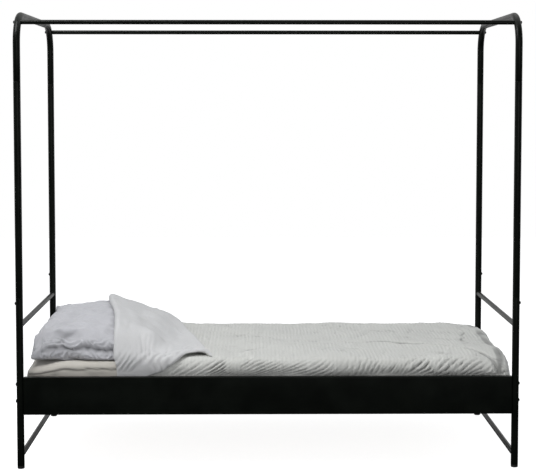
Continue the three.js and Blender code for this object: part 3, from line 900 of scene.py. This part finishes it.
def make_pillow(cotton):
    """The blown up pillow, filled out to its box, with its seam, puckers, ear and crease."""
    shaped, faces, values = pillow_shape()
    inset = values["from_seam"]  # negative on the lower panel
    upper = inset >= 0
    low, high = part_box("pillow")
    size = shaped.max(0) - shaped.min(0)
    x, y, z = (shaped - (shaped.max(0) + shaped.min(0)) / 2).T
    half_x, half_y = (high.x - low.x) / 2 + 0.004, (high.y - low.y) / 2 + 0.006
    x, y = fill_out(y, x, size[0] / 2, 0.93), fill_out(x, y, size[1] / 2, 0.8)
    x, y = x * half_x / np.abs(x).max(), y * half_y / np.abs(y).max()
    near_x, near_y = half_x - np.abs(x), half_y - np.abs(y)
    corner = smoothstep(-near_x, -0.1, 0) * smoothstep(-near_y, -0.1, 0)
    ear = corner * smoothstep(y, 0, 0.3) * smoothstep(-x, 0, 0.15)  # the far head corner stands up

    # puckers along the seam
    along = np.where(near_x < near_y, y, x)
    pucker = gathers(along, inset, 0.052, 0.35, 71, 1.5)
    fine = gathers(along, inset, 0.023, -0.25, 77, 2.0)
    near_seam = smoothstep(inset, 0.006, 0.022) * (1 - smoothstep(inset, 0.03, 0.085))

    # heights: full at the head side, and pressed down by the duvet at the other
    seam_z = SEAM_RISE + 0.004 * smooth_noise(75, 20, 0.03, 0.16)(x, y) - 0.035 * corner + 0.065 * ear
    seam_z -= 0.02 * smoothstep(x, 0, 0.2)
    crown = high.z - low.z - SEAM_RISE + 0.001
    fullness = np.clip(np.abs(z) / (size[2] / 2), 0, 1) ** (0.66 - 0.2 * smoothstep(y, 0.05, 0.35))
    pressed = 1 - 0.42 * smoothstep(x, 0, 0.25)
    rumple = smooth_noise(73, 24, 0.06, 0.22)(x, y) * smoothstep(np.abs(inset), 0.0, 0.06)
    over = crown * pressed * fullness * smoothstep(inset, -0.004, 0.012)
    over -= (0.0055 * pucker + 0.0015 * fine) * near_seam
    under = seam_z * np.tanh(np.abs(inset) / 0.03)
    height = seam_z + np.where(upper, over + 0.0018 * rumple, -under)

    # the seam is pinched in and both halves bulge past it; the front head corner has a standing crease
    pinch = bell(inset, 0, 0.0075) * (0.0085 + 0.004 * pucker)
    above = bell(inset, 0.024, 0.014) * (0.005 - 0.005 * pucker)
    below = bell(inset, -0.026, 0.017) * (0.0115 - 0.0065 * pucker - 0.0025 * fine)
    creased = bell(x, -half_x + 0.036, 0.008) * smoothstep(-y, half_y - 0.09, half_y - 0.03) * 0.009
    push = above + below - pinch * (1 - 0.7 * corner) - creased
    outward = unit(np.stack([x / half_x, y / half_y], 1) ** 5)
    points = np.column_stack([
        x + outward[:, 0] * push - 0.016 * ear**2 + (low.x + high.x) / 2,
        y + outward[:, 1] * push + (low.y + high.y) / 2,
        low.z + GAP + np.maximum(height, 0),
    ])
    lower_panel = 2.0  # how far along from the upper panel the lower one lies in cloth coordinates
    flat = np.column_stack([values["flat_x"] + np.where(upper, 0, lower_panel), values["flat_y"]])
    piece = make_piece("pillow_case", points, faces, [cotton], flat, sharp=None)
    # painted shade: darker along the pinched seam and in the puckers beside it, less so on the lower panel
    shade = np.clip(pinch / 0.012 * (1 - corner) + 0.3 * pucker * near_seam, 0, 1)
    set_values(piece, "fold", shade * np.where(inset < -0.008, 0.6, 1))
    own(piece, "pillow", "pillow_cotton", "pillow")
    return piece


# ---------------------------------------------------------------- duvet

DUVET_EDGE_R = 0.035  # of its middle layer, over the mattress edge
BODY_RISE = 0.0072  # of its middle layer, over the sheet
LAYER_GAP = 0.0125  # between the middle layers of the body and the flap
DUVET_HALF = (MATTRESS.x + BODY_RISE, MATTRESS.y + 0.0035)
FLAT_HALF = (DUVET_HALF[0] - DUVET_EDGE_R, DUVET_HALF[1] - DUVET_EDGE_R)
TUCK = 0.5555  # half its width, in flat cloth
FOOT_HEM = 1.097  # x of its hem at the foot end, in flat cloth
FLAP_LENGTH = 0.42
FLAP_SIDE = (  # share of the flap's length, and half its width there
    (0, TUCK), (0.2, 0.53), (0.3625, 0.503), (0.475, 0.485), (0.5375, 0.467), (0.6125, 0.452),
    (0.7125, 0.428), (0.8625, 0.392), (1, 0.42),
)
HEM_LINE = (  # side of the flap, from -1 to 1, and x of its hem
    (-1, -0.235), (-0.93, -0.25), (-0.6, -0.272), (-0.33, -0.3), (0.15, -0.358), (0.6, -0.395), (1, -0.435),
)
FOLD_LINE = (  # y and x of the fold, in flat cloth
    (-0.55, -0.620), (-0.35, -0.638), (-0.15, -0.656), (0.05, -0.692), (0.3, -0.732), (0.55, -0.742),
)
CORNER_CREASE = (  # x and y, in flat cloth
    (0.40, -0.07), (0.523, -0.092), (0.66, -0.14), (0.754, -0.193), (0.852, -0.266), (0.915, -0.36),
    (0.955, -0.425), (0.975, -0.47), (0.985, -0.53),
)
END_CREASE = ((0.93, 0.46), (0.852, -0.266))  # x and y on the bed
SMALL_CREASES = (  # x and y of the middle, direction, half length and depth
    (0.2, -0.12, 0.25, 0.22, 0.003), (-0.05, 0.1, 1.35, 0.15, 0.003), (0.45, 0.15, 1.2, 0.2, 0.0034),
    (0.65, 0.2, 1.45, 0.16, 0.004), (-0.1, -0.25, 0.5, 0.14, 0.0034), (0.3, 0.3, 0.9, 0.15, 0.003),
)


def fold_at(v):
    """x of the fold, from flat coordinates across the bed, smoothed along its length."""
    knots = np.linspace(-TUCK, TUCK, 25)
    line = np.interp(knots, *zip(*FOLD_LINE))
    return np.interp(v, knots, np.convolve(np.pad(line, 2, "edge"), np.ones(5) / 5, "valid"))


def hem_at(side):
    """x of the flap's hem; side runs from -1 at the front to 1."""
    return np.interp(side, *zip(*HEM_LINE))


def spline(t):
    """The four weights of a cubic B-spline."""
    return (1 - t) ** 3 / 6, (3 * t**3 - 6 * t**2 + 4) / 6, (-3 * t**3 + 3 * t**2 + 3 * t + 1) / 6, t**3 / 6


class Drape:
    """The duvet's lower layer as a surface over flat coordinates, spanning from pillow to mattress."""

    step = 0.01

    def __init__(self, pillow):
        self.x = np.arange(-1.02, -0.1, self.step)
        self.y = np.arange(-0.46, 0.4601, self.step)
        rest = self.heights(pillow)
        rest = np.where(rest > 0, rest + 0.003, 0)
        rest = blurred(rest[..., None], 14)[..., 0]
        rise = rest.copy()
        for _ in range(260):
            mean = rise.copy()
            mean[1:-1, 1:-1] = (rise[2:, 1:-1] + rise[:-2, 1:-1] + rise[1:-1, 2:] + rise[1:-1, :-2]) / 4
            rise = np.maximum(rest, mean * 0.994)
            rise[:, 0] = rise[:, -1] = rise[-1] = 0
            rise[0] = rise[1]
        kernel = np.exp(-np.linspace(-2, 2, 5) ** 2 / 2)
        kernel /= kernel.sum()

        def smooth(line):
            return np.convolve(np.pad(line, 2, "edge"), kernel, "valid")

        self.rise = np.apply_along_axis(smooth, 1, np.apply_along_axis(smooth, 0, rise))

    def heights(self, pillow):
        """How far the pillow stands above the mattress at each point of the grid."""
        tree = BVHTree.FromObject(pillow, bpy.context.evaluated_depsgraph_get())
        rest = np.zeros((len(self.x), len(self.y)))
        for i, x in enumerate(self.x):
            for j, y in enumerate(self.y):
                place = tree.ray_cast(Vector((x, y, 2)), Vector((0, 0, -1)))[0]
                if place:
                    rest[i, j] = max(0.0, place.z - MATTRESS.z)
        return rest

    def bump(self, x, y):
        fx = np.clip((x - self.x[0]) / self.step, 1, len(self.x) - 2.001)
        fy = np.clip((y - self.y[0]) / self.step, 1, len(self.y) - 2.001)
        i, j = fx.astype(int), fy.astype(int)
        return sum(
            wx * wy * self.rise[i + k - 1, j + m - 1]
            for k, wx in enumerate(spline(fx - i))
            for m, wy in enumerate(spline(fy - j))
        )

    def at(self, u, v):
        """Points, and how far each is past the top's flat part. The corners at the foot end sag."""
        points, far = over_edges(u, v, DUVET_HALF, DUVET_EDGE_R, MATTRESS.z + BODY_RISE)
        sagged = points.copy()
        soften_corners(sagged, DUVET_HALF)
        share = (points[..., 0] > 0) * (1 - 0.6 * smoothstep(points[..., 1], 0, 0.3))
        points = points + share[..., None] * (sagged - points)
        tip = smoothstep(points[..., 0], 0.9, 0.985) * smoothstep(np.abs(points[..., 1]), 0.36, 0.44)
        points[..., 0] -= 0.008 * tip * (1 - smoothstep(far, 0.05, 0.1))
        points[..., 2] += self.bump(points[..., 0], points[..., 1])
        return points, far


def distance_to(path, x, y):
    """Distance from points to a polyline, negative on its front side."""
    best = np.full(np.shape(x), 9.0)
    for (ax, ay), (bx, by) in zip(path, path[1:]):
        length = math.hypot(bx - ax, by - ay)
        t = np.clip(((x - ax) * (bx - ax) + (y - ay) * (by - ay)) / length**2, 0, 1)
        px, py = ax + t * (bx - ax) - x, ay + t * (by - ay) - y
        side = np.where((bx - ax) * (y - ay) - (by - ay) * (x - ax) >= 0, 1, -1)
        d = np.hypot(px, py)
        best = np.where(d < np.abs(best), d * side, best)
    return best


def gathers(x, far, pitch, slant, seed, sharp, calm=1.0):
    """Slanted pleats along an edge, 0 in the grooves to 1. The calmer they are, the straighter they run."""
    drift = smooth_noise(seed, 14, 0.05 * calm, 0.3 * calm)
    phase = (x + slant * far) / pitch + 0.7 * drift(x, far * 2)
    strength = np.clip(0.85 + 0.4 * smooth_noise(seed + 1, 12, 0.04, 0.22)(x, far), 0.1, 1)
    return strength * (0.5 + 0.5 * np.cos(2 * math.pi * phase)) ** sharp


def ridges(seed, low, high, width):
    """Narrow meandering ridges, 0 to 1."""
    line, mask = smooth_noise(seed, 26, low, high), smooth_noise(seed + 1, 14, high * 0.6, high * 1.6)

    def at(x, y):
        return bell(line(x, y), 0, width) * smoothstep(mask(x, y), -0.35, 0.5)

    return at


def lay_flap(drape, v, fold, share):
    """The flap's middle layer over the body's own surface: its flat coordinates, its points, how far past
    the flat top they are, and the way up and the gap at the fold. share is each row's share of the flap."""
    side = v / TUCK
    flat_v = side * np.interp(share, *zip(*FLAP_SIDE))[:, None]
    flat_u = fold + (hem_at(side) - fold) * share[:, None]
    below, far = drape.at(flat_u, flat_v)
    e = 0.006
    across = drape.at(flat_u, flat_v + e)[0] - drape.at(flat_u, flat_v - e)[0]
    along = drape.at(flat_u + e, flat_v)[0] - drape.at(flat_u - e, flat_v)[0]
    up = unit(blurred(np.cross(along, across), 4))
    tucked = smoothstep(far, 0.012, 0.055)
    away = np.broadcast_to(share[:, None] * FLAP_LENGTH, flat_u.shape)
    # the hem stands up in its middle and near its tip at the front
    gap = LAYER_GAP + 0.005 * np.exp(-away / 0.05)
    gap += 0.017 * smoothstep(away, 0.31, FLAP_LENGTH) * bell(side, 0.02, 0.38)
    tip = smoothstep(away, 0.2, 0.32) * smoothstep(FLAP_LENGTH - away, 0.0, 0.03)
    tip = tip * smoothstep(-side, 0.8, 0.98)
    gap = (gap + 0.014 * tip) * (1 - tucked) + 0.0055 * tucked
    return flat_u, flat_v, below + up * gap[..., None], far, up[0], gap[0]


def roll_over(body, up, radius, turns):
    """The roll from the body's last row round to the flap's first."""
    forward = unit(blurred((body[-1] - body[-5])[None], 12)[0])
    up = unit(up - forward * (up * forward).sum(-1)[..., None])
    return np.array([body[-1] + radius * (up + forward * math.cos(t) + up * math.sin(t)) for t in turns])


def make_duvet(cover, lining, pillow):
    """A middle layer in three parts, the body, a roll and the flap, with thickness on each side of it."""
    drape = Drape(pillow)
    v = mirrored(stepped(0, (0.39, 0.0095), (0.53, 0.0026), (TUCK, 0.005)))
    body_rows = stepped(0, (0.07, 0.007), (1, 0.00224))
    flap_rows = stepped(0, (0.12, 0.008), (0.9, 0.0115), (1, 0.008))[1:]
    turns = np.linspace(-math.pi / 2, math.pi / 2, 13)[1:-1]
    fold = fold_at(v)
    u_body = FOOT_HEM + (fold - FOOT_HEM) * body_rows[:, None]
    v_body = np.broadcast_to(v, u_body.shape)
    body, far_body = drape.at(u_body, v_body)
    u_flap, v_flap, flap, far_flap, up, gap = lay_flap(drape, v, fold, flap_rows)
    roll = roll_over(body, up, gap[:, None] / 2, turns)
    layer = np.concatenate([body, roll, flap])
    x, y = layer[..., 0], layer[..., 1]
    facing = -grid_normals(layer)
    far = np.concatenate([far_body, np.repeat(far_body[-1:], len(roll), 0), far_flap])
    # 0 on the body to 1 on the flap
    kind = np.concatenate([np.zeros(len(body)), turns / math.pi + 0.5, np.ones(len(flap))])[:, None]
    # the cloth's flat length goes on round the roll, in steps, and back along the flap
    roll_step, roll_length = 0.003, 0.03
    u_roll = fold - roll_step * np.arange(1, len(roll) + 1)[:, None]
    flat_u = np.concatenate([u_body, u_roll, 2 * fold - roll_length - u_flap])
    flat_v = np.concatenate([v_body, np.broadcast_to(v, roll.shape[:2]), v_flap])

    # thickness on each side of the middle layer, less towards the edges
    tucked = smoothstep(far, 0.014, 0.05)
    thick = 0.0055 - 0.003 * tucked - 0.001 * kind * (1 - tucked)
    body_side = puff_of_body(x, y, far, flat_u, flat_v) * (1 - kind)
    flap_side = puff_of_flap(x, y, far, v / TUCK) * kind**2
    to_side = (TUCK - np.abs(flat_v)) * (kind < 1) + kind * (1 - np.abs(v / TUCK)) * 0.45
    at_roll = np.full(len(roll), np.inf)
    to_end = np.concatenate([(FOOT_HEM - u_body).mean(1), at_roll, (1 - flap_rows) * FLAP_LENGTH])
    near_edge = np.clip(np.minimum(to_side, to_end[:, None]) / 0.011, 0, 1)
    soft = 0.3 + 0.7 * np.sqrt(1 - (1 - near_edge) ** 2)
    ribbed = layer + facing * ((thick + body_side) * soft)[..., None]
    smooth = layer - facing * ((thick + flap_side) * soft)[..., None]
    keep_inside_rails(ribbed)
    keep_inside_rails(smooth)

    # painted shade: a dark line along the crease to the near foot corner, and darkening in the hollows of
    # both sides
    crease = bell(distance_to(CORNER_CREASE, flat_u, flat_v), 0.002, 0.015)
    crease *= 0.85 * smoothstep(flat_u, 0.35, 0.8)
    painted_shades = (np.maximum(cavity(body_side, full=0.0038), crease), cavity(flap_side))
    piece = cloth_piece("duvet_cover", ribbed, smooth, flat_u, flat_v, painted_shades, [cover, lining])
    own(piece, "duvet", "duvet_cotton", "duvet")


def keep_inside_rails(points):
    """Holds the tucked edges between the mattress and the rails."""
    low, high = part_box("side_rail_back")
    clear, slope = 0.0013, 0.9
    limit = low.y - clear + np.maximum(points[..., 2] - (high.z + 0.004), 0) * slope
    points[..., 1] = np.clip(points[..., 1], -limit, limit)


def creases(x, y, u, v):
    """Creases in the duvet's body: one to the near foot corner, one across the foot end, and small ones."""
    d = distance_to(CORNER_CREASE, u, v) + 0.003 * smooth_noise(55, 14, 0.05, 0.2)(x, y)
    swell = smoothstep(-d, 0.0, 0.022) * (1 - 0.7 * smoothstep(-d, 0.03, 0.13))
    rise = (0.003 + 0.006 * smoothstep(x, 0.55, 0.85)) * swell - 0.0095 * bell(d, 0.006, 0.017)
    rise = smoothstep(x, 0.36, 0.66) * rise
    d = distance_to(END_CREASE, x, y) + 0.006 * smooth_noise(56, 14, 0.05, 0.2)(x, y)
    rise += (0.004 * bell(d, -0.02, 0.02) - 0.0048 * bell(d, 0.006, 0.011)) * bell(y, 0.05, 0.2)
    for cx, cy, turn, length, depth in SMALL_CREASES:
        a = (x - cx) * math.cos(turn) + (y - cy) * math.sin(turn)
        b = -(x - cx) * math.sin(turn) + (y - cy) * math.cos(turn)
        rise += 0.6 * depth * bell(a, 0, length) * (bell(b, 0.02, 0.022) - bell(b, -0.012, 0.02))
    return rise


def pleats(x, y, far, u, v):
    """Depth of the pleats above the rails and at the foot end, where the duvet is tucked in."""
    calm = 3.0
    past_end, short_of_side = u - FLAT_HALF[0], FLAT_HALF[1] - np.abs(v)
    at_end = past_end > -short_of_side
    along, across = np.where(at_end, y, x), np.where(at_end, far, far * np.sign(v))
    pull = 0.4 + 0.6 * np.maximum(bell(x, -0.25, 0.22), np.maximum(bell(x, 0.66, 0.16), bell(x, 0.95, 0.05)))
    pull = np.where(at_end, 0.25 * pull, pull)
    at_side = smoothstep(far, 0.008, 0.05) * (1 - 0.4 * smoothstep(far, 0.08, 0.12))
    inner = 0.06 * (short_of_side < 0.08) * smoothstep(np.abs(v), 0.34, FLAT_HALF[1])
    long_reach = smoothstep(far + inner, 0.01, 0.06)
    slant = -1.1 - 1.4 * bell(x, 0.0, 0.24)
    wide = 0.0115 * gathers(along, across, 0.03, slant, 31, 2.4, calm) * at_side
    fine = 0.0045 * gathers(along, across, 0.02, 0.8 * slant, 33, 2.0, calm)
    return pull * (wide + fine * np.maximum(at_side, 0.35 * long_reach))


def puff_of_body(x, y, far, u, v):
    """How far the ribbed side of the duvet's body stands off its middle layer."""
    hem_half, rib = 0.42, 0.016
    bare = smoothstep(x - hem_at(np.clip(y / hem_half, -1, 1)), -0.03, 0.02)
    calm = 1 - 0.6 * smoothstep(y, 0.15, 0.4)
    puff = 0.0068 + 0.0026 * calm * smooth_noise(21, 26, 0.16, 0.5)(x, y)
    puff += 0.0006 * smooth_noise(22, 40, 0.04, 0.14)(x, y * 0.6)
    puff += calm * (0.002 * ridges(51, 0.14, 0.45, 0.2)(x, y) - 0.0014 * ridges(53, 0.1, 0.34, 0.18)(x, y))
    puff += 0.0005 * bare * np.sin(2 * math.pi * u / rib + 1.3 * smooth_noise(23, 16, 0.08, 0.4)(x, y))
    puff += creases(x, y, u, v)
    # the sides are rounded
    puff = puff * (1 - 0.85 * smoothstep(far, 0.062, 0.088)) + 0.0085 * bell(far, 0.042, 0.024)
    puff = np.maximum(puff - pleats(x, y, far, u, v), 0.0004)
    # it is pressed flat under the flap, and flares out over the foot end
    room = smoothstep(x, -0.47, -0.38)
    puff = np.where(far > 0.03, puff * (0.15 + 0.85 * room), puff) * (0.3 + 0.7 * bare)
    flare = smoothstep(x, 0.93, 1.0) * smoothstep(far, 0.03, 0.1)
    return puff + 0.026 * flare * (0.8 + 0.2 * np.cos(40 * y))


def puff_of_flap(x, y, far, side):
    """How far the smooth side of the flap stands off its middle layer."""
    top = 1 - smoothstep(far, 0.02, 0.06)
    puff = 0.0046 + 0.0022 * smooth_noise(41, 22, 0.1, 0.35)(x * 1.4, y * 0.6)
    puff += 0.0011 * smooth_noise(42, 30, 0.05, 0.14)(x * 1.1 + 0.15 * y, y * 0.3)
    puff += 0.0014 * ridges(61, 0.09, 0.3, 0.15)(x, y * 0.45)
    low_side = smoothstep(np.abs(side), 0.5, 0.9)
    puff += low_side * top * (0.0026 * gathers(x, 0.35 * np.abs(y), 0.034, -1, 44, 1.0) - 0.001)
    pleat = gathers(x, far * np.sign(side), 0.024, -0.8, 43, 1.0, 2.0)
    at_side = smoothstep(far, 0.0, 0.03) * (1 - smoothstep(far, 0.06, 0.085))
    puff = np.maximum(puff, 0.0003) * (0.12 + 0.88 * top)
    return puff + at_side * (0.0055 * pleat + 0.004 * bell(far, 0.035, 0.025))


# ---------------------------------------------------------------- the bed

def main():
    make_camera()
    make_studio()
    coat, black, plastic, wood, strap = powder_coat(), bolt_black(), moulded_plastic(), pine(), webbing()
    make_posts(coat, plastic)
    make_arches(coat)
    make_bars(coat)
    make_rails(coat)
    make_bolts(black)
    make_base(coat, wood, strap)
    ticking = cloth("mattress_ticking", (0.62, 0.6, 0.56), 0.0011, "Object", 0.1)
    ecru = cloth("fitted_sheet", (0.52, 0.495, 0.45), 0.0009, painted_fold_shade=0.5)
    pillow_cotton = cloth("pillow_cotton", (0.48, 0.48, 0.503), 0.0008, painted_fold_shade=0.55)
    cover = cloth("duvet_cover", (0.575, 0.577, 0.55), 0.0010, rib=(0.016, 0.0006), painted_fold_shade=0.42)
    lining = cloth("duvet_lining", (0.57, 0.57, 0.572), 0.0008, painted_fold_shade=0.7)
    make_mattress(ticking)
    make_fitted_sheet(ecru)
    pillow = make_pillow(pillow_cotton)
    make_duvet(cover, lining, pillow)
    reach, drop = 9, 0.0006
    corners = [(-reach, -reach, 0), (reach, -reach, 0), (reach, reach, 0), (-reach, reach, 0)]
    floor = make_piece("floor", corners, [(0, 1, 2, 3)], [stage_floor()])
    floor.location.z = -drop


main()
